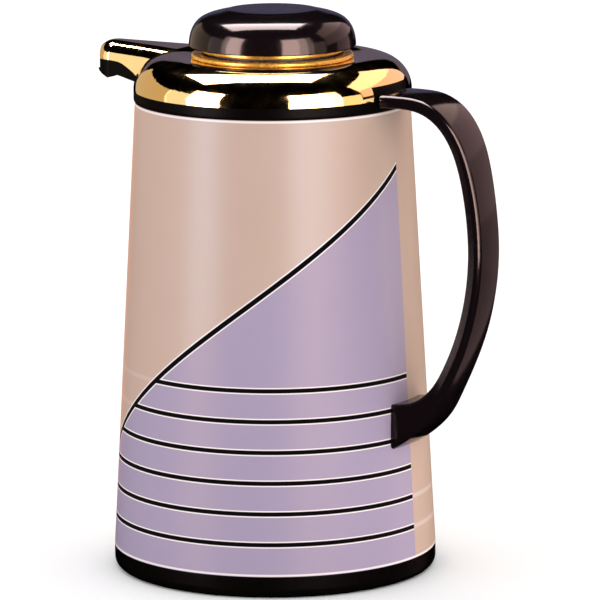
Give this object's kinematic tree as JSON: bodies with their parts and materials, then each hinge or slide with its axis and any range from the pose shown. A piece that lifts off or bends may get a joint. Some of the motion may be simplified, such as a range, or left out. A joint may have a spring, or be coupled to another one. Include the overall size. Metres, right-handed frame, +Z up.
{
  "type": "vacuum carafe",
  "caption": "Tapered glass-lined vacuum carafe with a screw-in stopper, a plated pouring shoulder and a strap handle.",
  "frame": {"origin": "centre of the ring that stands on the table", "axes": "+Z up along the body, +X towards the handle, -X towards the spout"},
  "size_m": [0.2001, 0.146, 0.254],
  "materials": {
    "body_sheet": "glossy pearl lacquer with a printed lilac panel and dark bands",
    "plated_gold": "gold-plated plastic, mirror gloss",
    "black_plastic": "glossy moulded plastic",
    "inner_plastic": "moulded plastic, satin",
    "silvered_glass": "silvered borosilicate glass",
    "silicone": "soft silicone, matte",
    "dark_rubber": "matte rubber",
    "foam": "closed-cell foam",
    "ceramic_felt": "pressed mineral fibre",
    "zinc_steel": "zinc-plated steel"
  },
  "bodies": {
    "body": {"outer_body": "body_sheet", "base_shell": "black_plastic", "bottom_cap": "inner_plastic", "liner_rest": "dark_rubber", "liner_outer_flask": "silvered_glass", "liner_inner_flask": "silvered_glass", "liner_spacers": "ceramic_felt", "neck_gasket": "silicone", "neck_insert": "inner_plastic", "spout_channel": "black_plastic", "shoulder_cover": "plated_gold", "shoulder_ring": "black_plastic", "shoulder_screws": "zinc_steel", "collar_trim": "plated_gold", "handle_shell": "black_plastic", "handle_inner_cover": "black_plastic", "handle_backing_plate": "zinc_steel", "handle_lower_screws": "zinc_steel", "handle_upper_screws": "zinc_steel"},
    "seal": {"stopper_gasket": "silicone"},
    "stopper": {"stopper_body": "inner_plastic", "stopper_insulation": "foam", "stopper_trim": "plated_gold", "stopper_cap_base": "black_plastic", "stopper_screws": "zinc_steel", "stopper_cap": "black_plastic"}
  },
  "joints": [
    {"name": "stopper_rise", "type": "slide", "parent": "body", "child": "seal", "axis": [0, 0, 1], "range_m": [0, 0.009]},
    {"name": "stopper_turn", "type": "hinge", "parent": "seal", "child": "stopper", "pos_m": [0, 0, 0.225], "axis": [0, 0, 1], "range_deg": [0, 540]}
  ],
  "couplings": [
    {"joint": "stopper_rise", "follows": "stopper_turn", "m_per_rad": 0.00095493}
  ]
}
